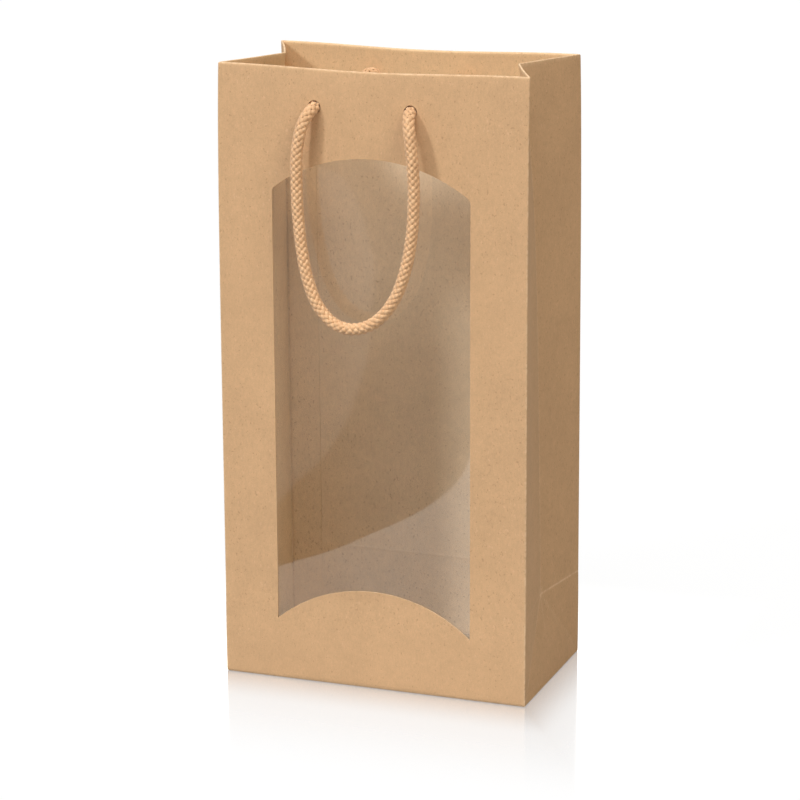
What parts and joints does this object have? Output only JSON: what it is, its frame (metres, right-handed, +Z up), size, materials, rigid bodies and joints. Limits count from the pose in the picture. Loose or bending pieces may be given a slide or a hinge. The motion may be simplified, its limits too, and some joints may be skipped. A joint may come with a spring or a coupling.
{
  "type": "bottle bag",
  "caption": "Tall kraft paper carrier bag for bottles, with tucked side gussets, a block bottom, an arched film window and braided rope handles.",
  "frame": {"origin": "middle of the bag's foot, on the floor", "axes": "+Z up; the panel with the window faces -Y; the side gussets face -X and +X"},
  "size_m": [0.18, 0.1316, 0.35],
  "materials": {
    "kraft_paper": "matt brown kraft paper, smooth side",
    "kraft_paper_inside": "matt brown kraft paper, inner side",
    "grey_card": "matt recycled card",
    "clear_film": "clear glossy film",
    "braided_rope": "braided natural fibre cord"
  },
  "bodies": {
    "root": {"front_panel": "kraft_paper", "back_panel": "kraft_paper", "left_gusset_front_half": "kraft_paper", "left_gusset_rear_half": "kraft_paper", "left_gusset_foot": "kraft_paper", "right_gusset_front_half": "kraft_paper", "right_gusset_rear_half": "kraft_paper", "right_gusset_foot": "kraft_paper", "base_front_flap": "kraft_paper", "base_rear_flap": "kraft_paper", "base_left_tuck_flap": "kraft_paper", "base_right_tuck_flap": "kraft_paper", "front_hem": "kraft_paper_inside", "back_hem": "kraft_paper_inside", "left_gusset_front_hem": "kraft_paper_inside", "left_gusset_rear_hem": "kraft_paper_inside", "right_gusset_front_hem": "kraft_paper_inside", "right_gusset_rear_hem": "kraft_paper_inside", "side_seam_glue_flap": "kraft_paper_inside", "front_mouth_board": "grey_card", "back_mouth_board": "grey_card", "base_board": "grey_card", "window_film": "clear_film", "front_left_rope_knot": "braided_rope", "front_right_rope_knot": "braided_rope", "rear_left_rope_knot": "braided_rope", "rear_right_rope_knot": "braided_rope"},
    "front_handle": {"front_rope_loop": "braided_rope"},
    "rear_handle": {"rear_rope_loop": "braided_rope"}
  },
  "joints": [
    {"name": "front_handle_swing", "type": "hinge", "parent": "root", "child": "front_handle", "pos_m": [-0.004, -0.0557, 0.3285], "axis": [-1, 0, 0], "range_deg": [0, 176]},
    {"name": "rear_handle_swing", "type": "hinge", "parent": "root", "child": "rear_handle", "pos_m": [-0.004, 0.0557, 0.3285], "axis": [1, 0, 0], "range_deg": [0, 176]}
  ]
}
